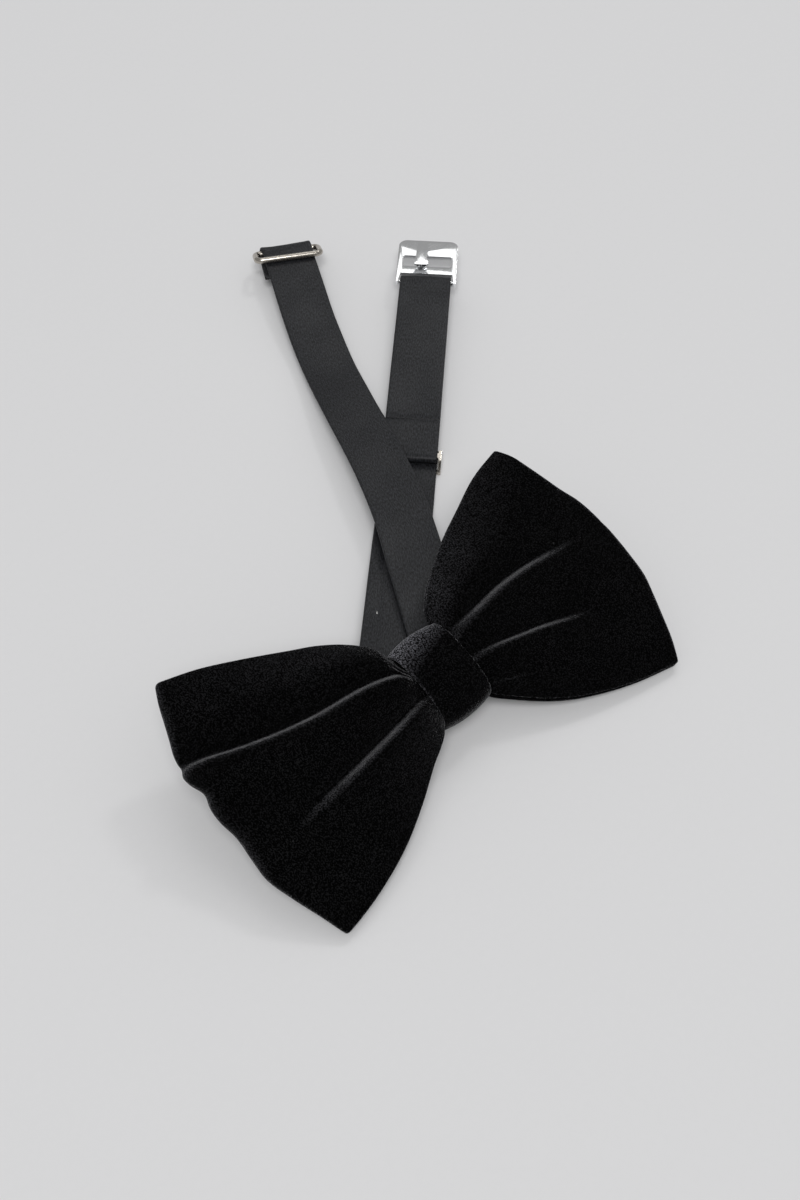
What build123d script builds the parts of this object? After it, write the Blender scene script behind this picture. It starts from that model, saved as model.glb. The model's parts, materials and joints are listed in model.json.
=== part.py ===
from build123d import *
import os
from math import cos, hypot, radians, sin, tan

# A pre-tied butterfly bow tie, lying face up on a table with its two neckband arms crossed
# beyond its upper edge.  +X runs along the bow to its right wing, +Y towards the neckband and
# +Z up.  The origin is on the table, under the middle of the whole tie's box.

os.makedirs("parts", exist_ok=True)

# ---- driving dimensions (mm) ----
table_to_bow = 14.6          # height of the bow's middle plane at its centre
bow_tilt = 18.0              # the bow's upper edge is lifted by the band behind it
bow_x, bow_y = -34.1, -71.8  # the bow's centre, which sets the origin under the whole box

wing_reach = 64.0            # centre of the bow to a wing tip
wing_bulge = 72.0            # centre of the bow to the middle of a wing's outer fold
wing_half_height = 42.0      # at the tips
waist_half_height = 10.6     # where the wing is pinched into the knot
velvet = 1.5                 # thickness of one lined velvet panel
canvas = 0.5                 # bow interlining

knot_x, knot_y = 2.5, -2.5   # the knot sits a little off the wings' centre
knot_width = 17.5
knot_height = 25.6
knot_front, knot_back = 8.0, -7.2
wrap_thickness = 1.1

band_width = 18.0            # standard 18 mm neckband and hardware
band_thickness = 1.0
felt = 0.2                   # stiffening core inside the satin tube

hook_arm_angle = 43.8        # plan direction of the hook arm, from +X
slider_at = 107.6            # along the hook arm, from its turn under the left wing
hook_bar_at = 189.0
slider_lift, hook_lift = 2.05, 7.1   # height of the running band's middle at these two places
slider_travel = 60.0
follow_travel = slider_travel / 2    # the hook loop gives half of the slider's travel

ring_wire = 2.2              # eye ring
ring_width, ring_length = 25.2, 10.3
running = 0.06               # radial clearance of a bar in its cloth fold
gap = 0.3                    # between cloth layers on different bodies


# ---- shared planes ----
tilt_y = Vector(0, cos(radians(bow_tilt)), sin(radians(bow_tilt)))
tilt_z = Vector(0, -sin(radians(bow_tilt)), cos(radians(bow_tilt)))
bow_centre = Vector(bow_x, bow_y, table_to_bow)


def bow_point(x, y, z):
    """A point given along the bow, up the bow and out of its front."""
    return bow_centre + Vector(x, 0, 0) + tilt_y * y + tilt_z * z


def bow_face(z=0.0):
    """The bow's own front plane, z above its middle."""
    return Plane(origin=bow_point(0, 0, z), x_dir=(1, 0, 0), z_dir=tilt_z)


def bow_cut(x):
    """A cross-section plane of the bow: sketch x runs up the bow, sketch y out of its front."""
    return Plane(origin=bow_point(x, 0, 0), x_dir=tilt_y, z_dir=(1, 0, 0))


def finish(piece, name):
    """Label one finished sub-part and write it."""
    piece.part.label = name
    export_step(piece.part, f"parts/{name}.step")


# ---- wings: one velvet loop each, a front and a back panel joined at the outer fold ----
def wing_stations(side):
    """Place, centre, half height, inner face, crown and thickness, from the waist outwards."""
    return [
        (knot_x + side * 0.4, knot_y, waist_half_height, 0.5, 0.2, 3.0),
        (knot_x + side * 10.0, knot_y, waist_half_height + 1.0, 0.7, 0.8, 2.2),
        (side * 30.0, 0.0, 31.0, 1.2, 2.6, velvet),
        (side * 50.0, 0.0, 41.0, 0.8, 2.0, velvet),
        (side * (wing_reach - 0.5), 0.0, 45.0, -0.15, 0.1, velvet),
        (side * (wing_bulge + 1.0), 0.0, 45.0, -0.15, 0.1, velvet),
    ]


back_depth = 0.55            # the back panel lies flatter than the front one


def panel_outline(centre, half_height, inner, crown, thickness, front):
    """Draw a crowned band from edge to edge; front is 1 for the front panel and -1 for the back."""
    if front < 0 and inner > 0:
        inner, crown = inner * back_depth, crown * back_depth
    low, high = centre - half_height, centre + half_height
    inside, outside = inner * front, (inner + thickness) * front
    rise = crown * front
    ThreePointArc((low, inside), (centre, inside + rise), (high, inside))
    Line((high, inside), (high, outside))
    ThreePointArc((high, outside), (centre, outside + rise), (low, outside))
    Line((low, outside), (low, inside))


def wing_outline(side):
    """Draw the wing seen from the front, its knot end running in under the wrap."""
    inner_x, shoulder_x = knot_x + side * 0.4, knot_x + side * 9.5
    tip, middle = side * wing_reach, side * wing_bulge
    low, high = knot_y - waist_half_height, knot_y + waist_half_height
    flare = 0.8
    flank = (side * 30, 29)
    Line((inner_x, low), (inner_x, high))
    Line((inner_x, high), (shoulder_x, high + flare))
    Spline((shoulder_x, high + flare), flank, (tip, wing_half_height))
    ThreePointArc((tip, wing_half_height), (middle, 0), (tip, -wing_half_height))
    Spline((tip, -wing_half_height), (flank[0], -flank[1]), (shoulder_x, low - flare))
    Line((shoulder_x, low - flare), (inner_x, low))


for side, side_name in ((-1, "left"), (1, "right")):
    with BuildPart() as wing:
        for front in (1, -1):
            for station_x, *section in wing_stations(side):
                with BuildSketch(bow_cut(station_x)):
                    with BuildLine():
                        panel_outline(*section, front)
                    make_face()
            loft(ruled=True)
        with BuildSketch(bow_face(-20)):
            with BuildLine():
                wing_outline(side)
            make_face()
        extrude(amount=40, mode=Mode.INTERSECT)
    finish(wing, f"{side_name}_wing")

    # the canvas lies inside the loop, just behind the front panel
    with BuildPart() as interlining:
        for station_x, centre, half_height, inner, crown, _ in wing_stations(side)[1:4]:
            with BuildSketch(bow_cut(station_x)):
                with BuildLine():
                    panel_outline(centre, half_height - 4.0, inner - canvas - 0.1, crown, canvas, 1)
                make_face()
        loft(ruled=True)
    finish(interlining, f"{side_name}_interlining")


# ---- knot: a velvet wrap round the pinched waist, with a felt pad and a thread binding ----
knot_middle = (knot_front + knot_back) / 2
knot_depth = knot_front - knot_back


with BuildPart() as knot_wrap:
    with BuildSketch(bow_cut(knot_x - knot_width / 2)):
        with Locations((knot_y, knot_middle)):
            RectangleRounded(knot_height, knot_depth, 5.6)
            RectangleRounded(
                knot_height - 2 * wrap_thickness, knot_depth - 2 * wrap_thickness, 4.6, mode=Mode.SUBTRACT
            )
    extrude(amount=knot_width)
finish(knot_wrap, "knot_wrap")

pad_back, pad_front = 4.1, knot_front - wrap_thickness - 0.1
with BuildPart() as knot_padding:
    with BuildSketch(bow_cut(knot_x - knot_width / 2 + 0.8)):
        with Locations((knot_y, (pad_back + pad_front) / 2)):
            RectangleRounded(knot_height - 10.0, pad_front - pad_back, 1.2)
    extrude(amount=knot_width - 1.6)
finish(knot_padding, "knot_padding")

binding_turns = 4
binding_pitch = 1.6
thread = 0.5
with BuildPart() as waist_binding:
    for turn in range(binding_turns):
        turn_x = knot_x + (turn - (binding_turns - 1) / 2) * binding_pitch - thread / 2
        with BuildSketch(bow_cut(turn_x)):
            with Locations((knot_y, 0)):
                RectangleRounded(2 * waist_half_height + 1.4, 8.0, 2.2)
                RectangleRounded(2 * waist_half_height + 0.6, 7.5, 2.0, mode=Mode.SUBTRACT)
        extrude(amount=thread)
finish(waist_binding, "waist_binding")

stitch_count = 6
with BuildPart() as knot_stitches:
    for index in range(stitch_count):
        stitch_y = knot_y + (index - (stitch_count - 1) / 2) * 2.6
        with BuildSketch(bow_face(knot_back - 0.45)):
            with Locations((knot_x, stitch_y)):
                SlotOverall(3.2, 0.6, rotation=20)
        extrude(amount=0.4)
finish(knot_stitches, "knot_stitches")

# ---- neckband centre: runs through the wrap behind the waist ----
turn_x = -17.2                       # the hook arm's turn under the left wing
turn_y = -0.74
centre_level = -5.0
crease_angle = (180 + hook_arm_angle) / 2
crease_run = band_width / 2 / tan(radians(crease_angle))
with BuildPart() as neckband_centre:
    with BuildSketch(bow_face(centre_level - band_thickness / 2)):
        with BuildLine():
            Polyline(
                (turn_x - crease_run, knot_y - band_width / 2),
                (15.0, knot_y - band_width / 2),
                (15.0, knot_y + band_width / 2),
                (turn_x + crease_run, knot_y + band_width / 2),
                close=True,
            )
        make_face()
    extrude(amount=band_thickness)
finish(neckband_centre, "neckband_centre")


# ---- neckband arms ----
def band_face(stations, half):
    """Draw a band's side view: stations are (distance, height), half is half its thickness."""
    upper = [(s, h + half) for s, h in stations]
    lower = [(s, h - half) for s, h in reversed(stations)]
    Spline(*upper)
    Line(upper[-1], lower[0])
    Spline(*lower)
    Line(lower[-1], upper[0])


arm_x, arm_y = cos(radians(hook_arm_angle)), sin(radians(hook_arm_angle))
hook_start = Vector(bow_x + turn_x, bow_y + turn_y, 0)
hook_side = Plane(origin=hook_start, x_dir=(arm_x, arm_y, 0), z_dir=(arm_y, -arm_x, 0))
rise = (hook_lift - slider_lift) / (hook_bar_at - slider_at)

# the soft part of the hook arm: from the turn, over the table, down to the straight run
run_starts = slider_at - 12.0
run_ends = hook_bar_at - 4.0
arm_stations = [(0, 5.2), (15, 6.0), (32, 6.7), (52, 6.0), (75, 3.2)]


def run_height(s):
    return slider_lift + (s - slider_at) * rise


def hook_arm_solid(width, half, start, end):
    """The hook arm as one band: its soft curve, then the straight run the slider travels on."""
    soft = [(max(s, start), h) for s, h in arm_stations] + [(run_starts, run_height(run_starts))]
    overlap = 0.01
    with BuildPart() as band:
        with BuildSketch(hook_side):
            with BuildLine():
                band_face(soft, half)
            make_face()
            with BuildLine():
                Polyline(
                    (run_starts - overlap, run_height(run_starts) + half),
                    (end, run_height(end) + half),
                    (end, run_height(end) - half),
                    (run_starts - overlap, run_height(run_starts) - half),
                    close=True,
                )
            make_face()
        extrude(amount=width / 2, both=True)
    return band.part


core_half = felt / 2
hollow_half = core_half + 0.05
hook_arm_body = hook_arm_solid(band_width, band_thickness / 2, 0, run_ends)
hook_arm_hollow = hook_arm_solid(band_width - 1.2, hollow_half, 1.0, run_ends - 1.0)
hook_arm_core = hook_arm_solid(band_width - 1.6, core_half, 1.5, run_ends - 1.5)
with BuildPart() as neckband_hook_arm:
    add(hook_arm_body)
    add(hook_arm_hollow, mode=Mode.SUBTRACT)
finish(neckband_hook_arm, "neckband_hook_arm")

with BuildPart() as hook_arm_interlining:
    add(hook_arm_core)
finish(hook_arm_interlining, "hook_arm_interlining")

# the eye arm leaves the knot's upper edge and bends a little both ways in plan
eye_route = [(12.2, 6.0), (28.0, 34.2), (40.0, 56.0), (59.0, 102.5), (76.9, 143.6), (94.1, 177.6)]
eye_start_angle, eye_end_angle = 60.6, 60.0
eye_stations = [(0, 8.0), (30, 8.9), (62, 8.8), (98, 7.9), (126, 4.0), (146, 4.8), (168, 6.9)]
eye_lift = 8.0                       # the band's middle, over the ring's bar
beyond = 12.0                        # the side view runs past both ends of the plan


def heading(angle):
    return cos(radians(angle)), sin(radians(angle))


def eye_chord():
    """The upright plane through the eye arm's two ends, and the distance between them."""
    (x0, y0), (x1, y1) = eye_route[0], eye_route[-1]
    length = hypot(x1 - x0, y1 - y0)
    along = ((x1 - x0) / length, (y1 - y0) / length, 0)
    origin = (bow_x + x0, bow_y + y0, 0)
    return Plane(origin=origin, x_dir=along, z_dir=(along[1], -along[0], 0)), length


eye_side, eye_length = eye_chord()
eye_profile = [(-beyond, 7.6)] + eye_stations + [(eye_length, eye_lift), (eye_length + beyond, 8.6)]


def eye_arm_solid(width, half, trim):
    """The eye arm as one band: its plan outline, cut by its side view; trim shortens both ends."""
    with BuildLine() as centre:
        Spline(
            *[(bow_x + x, bow_y + y) for x, y in eye_route],
            tangents=[heading(eye_start_angle), heading(eye_end_angle)],
        )
    route = centre.edges()[0]
    steps = 8
    edges = {1: [], -1: []}
    for index in range(steps + 1):
        fraction = trim + (1 - 2 * trim) * index / steps
        point, along = route @ fraction, route % fraction
        for hand in edges:
            edges[hand].append(point + Vector(-along.Y, along.X, 0) * (hand * width / 2))
    with BuildPart() as band:
        with BuildSketch():
            with BuildLine():
                Spline(*edges[1])
                Line(edges[1][-1], edges[-1][-1])
                Spline(*edges[-1])
                Line(edges[-1][0], edges[1][0])
            make_face()
        extrude(amount=40)
        with BuildSketch(eye_side):
            with BuildLine():
                band_face(eye_profile, half)
            make_face()
        extrude(amount=40, both=True, mode=Mode.INTERSECT)
    return band.part


eye_arm_body = eye_arm_solid(band_width, band_thickness / 2, 0.0)
eye_arm_hollow = eye_arm_solid(band_width - 1.2, hollow_half, 0.01)
eye_arm_core = eye_arm_solid(band_width - 1.6, core_half, 0.013)

# the band's end goes round the ring's bar and is stitched back under itself
ring_bar = ring_wire / 2
fold_in = ring_bar + running
fold_out = fold_in + band_thickness
eye_bar_lift = eye_lift - fold_in - band_thickness / 2
eye_tail = 13.5
eye_tail_rise = 1.5
eye_along = heading(eye_end_angle)
eye_bar = Vector(bow_x + eye_route[-1][0], bow_y + eye_route[-1][1], eye_bar_lift)
eye_end_side = Plane(origin=eye_bar, x_dir=(*eye_along, 0), z_dir=(eye_along[1], -eye_along[0], 0))

with BuildPart() as neckband_eye_arm:
    add(eye_arm_body)
    add(eye_arm_hollow, mode=Mode.SUBTRACT)
    with BuildSketch(eye_end_side):
        Circle(fold_out)
        Circle(fold_in, mode=Mode.SUBTRACT)
        with Locations((-fold_out, 0)):
            Rectangle(2 * fold_out, 3 * fold_out, mode=Mode.SUBTRACT)
        with Locations((-0.5, fold_in + band_thickness / 2)):
            Rectangle(1.2, band_thickness)
        with BuildLine():
            Polyline(
                (0.1, -fold_in),
                (0.1, -fold_out),
                (-eye_tail, -fold_out + eye_tail_rise),
                (-eye_tail, -fold_in + eye_tail_rise),
                close=True,
            )
        make_face()
    extrude(amount=band_width / 2, both=True)
finish(neckband_eye_arm, "neckband_eye_arm")

with BuildPart() as eye_arm_interlining:
    add(eye_arm_core)
finish(eye_arm_interlining, "eye_arm_interlining")

tack_count = 9
tack_pitch = 1.6
tack_level = -fold_out + eye_tail_rise - 0.9
with BuildPart() as eye_bartack:
    with BuildSketch(Plane(origin=eye_bar + Vector(0, 0, tack_level), x_dir=(*eye_along, 0))):
        with Locations((-eye_tail + 2.4, 0)):
            with GridLocations(1, tack_pitch, 1, tack_count):
                SlotOverall(2.2, 0.6)
    extrude(amount=0.35)
finish(eye_bartack, "eye_bartack")

# ---- eye ring: bent from round wire, folded back to lie on the band ----
ring_reach = ring_length - ring_wire
ring_lean = 157.4                    # its rest angle in the side view, from straight out
ring_out = Vector(eye_along[0], eye_along[1], 0) * cos(radians(ring_lean))
ring_out = ring_out + Vector(0, 0, sin(radians(ring_lean)))
ring_across = Vector(-eye_along[1], eye_along[0], 0)
ring_plane = Plane(origin=eye_bar, x_dir=ring_out, z_dir=ring_out.cross(ring_across))
ring_half = (ring_width - ring_wire) / 2
ring_corner = 1.9
ring_flat = ring_half - ring_corner
knee = ring_corner * (1 - cos(radians(45)))
with BuildPart() as eye_ring:
    for hand in (1, -1):
        flat, half = hand * ring_flat, hand * ring_half
        with BuildLine(ring_plane) as half_path:
            Line((0, 0), (0, flat))
            ThreePointArc((0, flat), (knee, half - hand * knee), (ring_corner, half))
            Line((ring_corner, half), (ring_reach - ring_corner, half))
            ThreePointArc(
                (ring_reach - ring_corner, half), (ring_reach - knee, half - hand * knee), (ring_reach, flat)
            )
            Line((ring_reach, flat), (ring_reach, 0))
        with BuildSketch(Plane(origin=eye_bar, x_dir=ring_out, z_dir=ring_across)):
            Circle(ring_bar)
        sweep(path=half_path.wires()[0])
finish(eye_ring, "eye_ring")

# ---- adjuster: a cranked three-bar slide on the straight run of the hook arm ----
run_length = hypot(hook_bar_at - slider_at, hook_lift - slider_lift)
run_slope = (hook_lift - slider_lift) / run_length
run_level = (hook_bar_at - slider_at) / run_length
run_dir = Vector(arm_x * run_level, arm_y * run_level, run_slope)
run_up = Vector(-arm_x * run_slope, -arm_y * run_slope, run_level)
run_right = Vector(arm_y, -arm_x, 0)


def run_point(s, up=0.0):
    """A point on the running band's middle, s along the arm in plan, and up from it."""
    return hook_start + Vector(arm_x * s, arm_y * s, run_height(s)) + run_up * up


def run_side(s, up=0.0):
    """Side-view plane on the straight run: sketch x towards the hook, sketch y upwards."""
    return Plane(origin=run_point(s, up), x_dir=run_dir, z_dir=run_right)


def run_top(s, up=0.0):
    """Plane seen from above on the straight run: sketch x towards the hook."""
    return Plane(origin=run_point(s, up), x_dir=run_dir, z_dir=run_up)


half_band = band_thickness / 2
fold_cloth = 0.8                     # the band is pressed thinner where it is folded
adjuster_top = 3.47
adjuster_under = half_band + gap
bar_under = adjuster_under + fold_cloth + running
bar_over = adjuster_top - fold_cloth - running
bar_wide = 2.6
outer_bar_top = -half_band - 0.15
outer_bar_thick = 1.0
outer_bar_at = 3.9
cheek_in, cheek_out = band_width / 2 + 0.4, band_width / 2 + 1.3
slide_half_length = 4.7
with BuildPart() as slider_frame:
    with BuildSketch(run_side(slider_at)):
        with BuildLine():
            Polyline(
                (-slide_half_length, outer_bar_top - outer_bar_thick),
                (slide_half_length, outer_bar_top - outer_bar_thick),
                (slide_half_length, outer_bar_top + 0.3),
                (bar_wide * 0.8, bar_over),
                (-bar_wide * 0.8, bar_over),
                (-slide_half_length, outer_bar_top + 0.3),
                close=True,
            )
        make_face()
    extrude(amount=cheek_out, both=True)
    with BuildSketch(run_side(slider_at)):
        Rectangle(4 * slide_half_length, 12)
    extrude(amount=cheek_in, both=True, mode=Mode.SUBTRACT)
    with BuildSketch(run_side(slider_at)):
        with Locations((0, (bar_under + bar_over) / 2)):
            RectangleRounded(bar_wide, bar_over - bar_under, 0.4)
        with Locations((outer_bar_at, outer_bar_top - outer_bar_thick / 2),
                       (-outer_bar_at, outer_bar_top - outer_bar_thick / 2)):
            RectangleRounded(1.6, outer_bar_thick, 0.4)
    extrude(amount=cheek_in + 0.2, both=True)
finish(slider_frame, "slider_frame")

hook_clear = 3.5
adjuster_length = run_length - follow_travel - hook_clear
adjuster_tail = 16.0
fold_turn = bar_wide / 2 + running + fold_cloth
with BuildPart() as adjuster_band:
    with BuildSketch(run_side(slider_at)):
        with BuildLine():
            Polyline(
                (adjuster_length, adjuster_top),
                (adjuster_length, adjuster_top - fold_cloth),
                (-fold_turn + fold_cloth, adjuster_top - fold_cloth),
                (-fold_turn + fold_cloth, adjuster_under + fold_cloth),
                (adjuster_tail, adjuster_under + fold_cloth),
                (adjuster_tail, adjuster_under),
                (-fold_turn, adjuster_under),
                (-fold_turn, adjuster_top),
                close=True,
            )
        make_face()
    extrude(amount=band_width / 2, both=True)
    turn_edges = adjuster_band.edges().filter_by(Axis(run_point(slider_at), run_right))
    outside_turn = turn_edges.sort_by(Axis(run_point(slider_at), run_dir))[:2]
    fillet(outside_turn, 0.7)
finish(adjuster_band, "adjuster_band")

seam_count, seam_pitch = 10, 1.75
with BuildPart() as adjuster_bartack:
    with BuildSketch(run_top(slider_at, adjuster_top + 0.05)):
        with Locations((adjuster_tail - 1.4, 0)):
            with GridLocations(1, seam_pitch, 1, seam_count):
                SlotOverall(1.35, 0.55, rotation=90)
    extrude(amount=0.35)
finish(adjuster_bartack, "adjuster_bartack")

# ---- hook loop: the band turned round the hook's bar ----
hook_bar = 0.9
loop_in = hook_bar + running
loop_out = loop_in + band_thickness
bar_up = 0.2
upper_leg = run_length - adjuster_length - gap
lower_leg = follow_travel + 5.0
with BuildPart() as hook_loop:
    with BuildSketch(run_side(hook_bar_at, bar_up)):
        Circle(loop_out)
        Circle(loop_in, mode=Mode.SUBTRACT)
        with Locations((-loop_out, 0)):
            Rectangle(2 * loop_out, 3 * loop_out, mode=Mode.SUBTRACT)
        with Locations((-upper_leg / 2 + 0.05, (loop_in + loop_out) / 2)):
            Rectangle(upper_leg + 0.1, band_thickness)
        with Locations((-lower_leg / 2 + 0.05, -(loop_in + loop_out) / 2)):
            Rectangle(lower_leg + 0.1, band_thickness)
    extrude(amount=band_width / 2, both=True)
finish(hook_loop, "hook_loop")

# ---- hook: a stamped plate with a tongue raised over its window ----
plate = 1.4
plate_half_width = 10.7
rail_in = band_width / 2 + 0.3
middle_bar = (3.6, 7.3)
window_end = 12.6
plate_end = 20.5
tongue_y = 2.0                       # the tongue stands a little to one side
tongue_root, tongue_tip = 14.6, 4.6
tongue_thick = 0.9
tongue_neck, tongue_flare = 4.0, 5.8
tongue_under = plate / 2 + ring_wire + 0.3
with BuildPart() as hook:
    with BuildSketch(run_top(hook_bar_at, bar_up - plate / 2)) as plate_sketch:
        with Locations(((plate_end - hook_bar) / 2, 0)):
            Rectangle(plate_end + hook_bar, 2 * plate_half_width)
        fillet(plate_sketch.vertices().group_by(Axis.X)[-1], 3.0)
        fillet(plate_sketch.vertices().group_by(Axis.X)[0], 0.6)
        with Locations((middle_bar[0] / 2 - 1.0, 0)):
            Rectangle(middle_bar[0] + 2.0, 2 * rail_in, mode=Mode.SUBTRACT)
        with Locations(((middle_bar[1] + window_end) / 2, 0)):
            RectangleRounded(window_end - middle_bar[1], 2 * 8.8, 0.9, mode=Mode.SUBTRACT)
    extrude(amount=plate)
    with BuildSketch(run_side(hook_bar_at, bar_up)):
        Circle(hook_bar)
    extrude(amount=rail_in + 0.4, both=True)
    with BuildSketch(run_top(hook_bar_at, bar_up + tongue_under)) as tongue_sketch:
        with BuildLine():
            Polyline(
                (tongue_root + tongue_thick, tongue_y - tongue_neck / 2),
                (tongue_root + tongue_thick, tongue_y + tongue_neck / 2),
                (tongue_tip + 3.0, tongue_y + tongue_neck / 2),
                (tongue_tip, tongue_y + tongue_flare / 2),
                (tongue_tip, tongue_y - tongue_flare / 2),
                (tongue_tip + 3.0, tongue_y - tongue_neck / 2),
                close=True,
            )
        make_face()
        fillet(tongue_sketch.vertices().group_by(Axis.X)[0], 1.0)
    extrude(amount=tongue_thick)
    with BuildSketch(run_top(hook_bar_at, bar_up)):
        with Locations((tongue_root + tongue_thick / 2, tongue_y)):
            Rectangle(tongue_thick, tongue_neck)
    extrude(amount=tongue_under + tongue_thick)
finish(hook, "hook")
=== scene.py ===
# %% [markdown]
# # A pre-tied velvet bow tie
# The tie lies face up with its neckband arms crossed beyond its upper edge. The frame brings the
# solids that move. Cloth is then made over them: velvet wings and knot, satin band, thread. The
# metal keeps its shape and gets rounded edges. Everything is in metres, in the frame's own axes.

import bmesh
import bpy
import json
import math
import numpy as np
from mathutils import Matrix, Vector


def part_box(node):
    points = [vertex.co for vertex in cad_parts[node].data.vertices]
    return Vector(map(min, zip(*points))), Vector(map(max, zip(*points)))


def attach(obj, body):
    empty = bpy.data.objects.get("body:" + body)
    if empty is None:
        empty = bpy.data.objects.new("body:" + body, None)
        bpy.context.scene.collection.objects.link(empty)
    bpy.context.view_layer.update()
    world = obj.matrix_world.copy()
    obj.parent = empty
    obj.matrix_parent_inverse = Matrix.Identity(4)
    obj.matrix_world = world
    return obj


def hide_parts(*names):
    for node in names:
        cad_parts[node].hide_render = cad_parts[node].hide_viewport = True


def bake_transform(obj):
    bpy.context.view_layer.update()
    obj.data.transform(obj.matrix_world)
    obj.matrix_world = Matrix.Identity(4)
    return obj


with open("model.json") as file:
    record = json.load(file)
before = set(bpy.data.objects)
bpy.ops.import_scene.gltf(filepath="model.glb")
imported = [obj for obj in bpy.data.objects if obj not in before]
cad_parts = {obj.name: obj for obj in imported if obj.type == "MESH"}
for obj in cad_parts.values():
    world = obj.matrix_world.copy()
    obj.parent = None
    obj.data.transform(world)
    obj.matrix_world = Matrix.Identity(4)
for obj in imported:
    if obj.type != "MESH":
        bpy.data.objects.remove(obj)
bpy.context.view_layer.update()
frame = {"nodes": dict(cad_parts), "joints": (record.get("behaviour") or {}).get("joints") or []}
MM = 0.001
joints = {joint["name"]: joint for joint in frame["joints"]}

# %% [markdown]
# ## Where things are
# The bow leans back by 18 degrees, so its parts are easier to describe in directions of its own:
# along the bow, up it and out of its front. The knot's solid gives the place. The straight part
# of the hook arm has directions of its own too, and its joints give them.

# %% The bow's directions
bow_tilt = math.radians(18)
along_bow = Vector((1, 0, 0))
up_bow = Vector((0, math.cos(bow_tilt), math.sin(bow_tilt)))
out_of_bow = Vector((0, -math.sin(bow_tilt), math.cos(bow_tilt)))
knot_low, knot_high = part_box("knot_wrap")
knot_x, knot_y, knot_middle = 2.5, -2.5, 0.4
knot_width, knot_height = 17.5, 25.6
knot_front, knot_back = 8.0, -7.2
bow_middle = (knot_low + knot_high) / 2
bow_middle -= (along_bow * knot_x + up_bow * knot_y + out_of_bow * knot_middle) * MM


def on_bow(x, y, z):
    """A place in millimetres from the middle of the wings: along the bow, up it, out of it."""
    return bow_middle + (along_bow * x + up_bow * y + out_of_bow * z) * MM


def on_table(x, y, z):
    """A place in millimetres: in plan from the middle of the wings, and above the table."""
    return Vector((bow_middle.x + x * MM, bow_middle.y + y * MM, z * MM))


print("middle of the wings", tuple(round(c, 4) for c in bow_middle))

# %% The straight part of the hook arm
run_along = Vector(joints["slider_travel"]["axis"]).normalized()
run_right = Vector(joints["hook_swing"]["axis"]).normalized()
run_up = run_right.cross(run_along)
hook_bar = Vector(joints["hook_swing"]["pos_m"])
bar_above_band = 0.2
slide_low, slide_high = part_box("slider_frame")
run_length = (hook_bar - (slide_low + slide_high) / 2).dot(run_along) / MM


def on_run(s, up, right=0.0):
    """A place in millimetres from the slide: towards the hook, above the band's middle, right."""
    start = hook_bar - run_along * run_length * MM - run_up * bar_above_band * MM
    return start + (run_along * s + run_up * up + run_right * right) * MM


print("slide to hook bar", round(run_length, 2), "mm")

# %% [markdown]
# ## Colours and one node helper
# Colours are written as a designer writes them, in sRGB hex, and turned to linear in one place.
# One small function adds a node, sets its options and links or sets its inputs.


# %% Colour and node helpers
def colour(hex_code):
    """sRGB hex to the linear RGBA that shaders work in."""
    parts = [int(hex_code[i : i + 2], 16) / 255 for i in (1, 3, 5)]
    return (*[c / 12.92 if c < 0.04045 else ((c + 0.055) / 1.055) ** 2.4 for c in parts], 1.0)


def add(tree, kind, options=None, inputs=None):
    """Add a node; inputs are values or the sockets to link."""
    node = tree.nodes.new(kind)
    for name, value in (options or {}).items():
        setattr(node, name, value)
    for name, value in (inputs or {}).items():
        if isinstance(value, bpy.types.NodeSocket):
            tree.links.new(value, node.inputs[name])
        else:
            node.inputs[name].default_value = value
    return node


def new_material(name):
    """An empty material with its output, ready for a shader."""
    material = bpy.data.materials.new(name)
    material.use_nodes = True
    material.node_tree.nodes.clear()
    return material, material.node_tree


def put_in_scene(name, data):
    """A new object that holds the data, linked to the scene."""
    thing = bpy.data.objects.new(name, data)
    bpy.context.scene.collection.objects.link(thing)
    return thing


def show(tree, shader):
    """Join a shader to the material's output."""
    add(tree, "ShaderNodeOutputMaterial", None, {"Surface": shader.outputs["BSDF"]})
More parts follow.
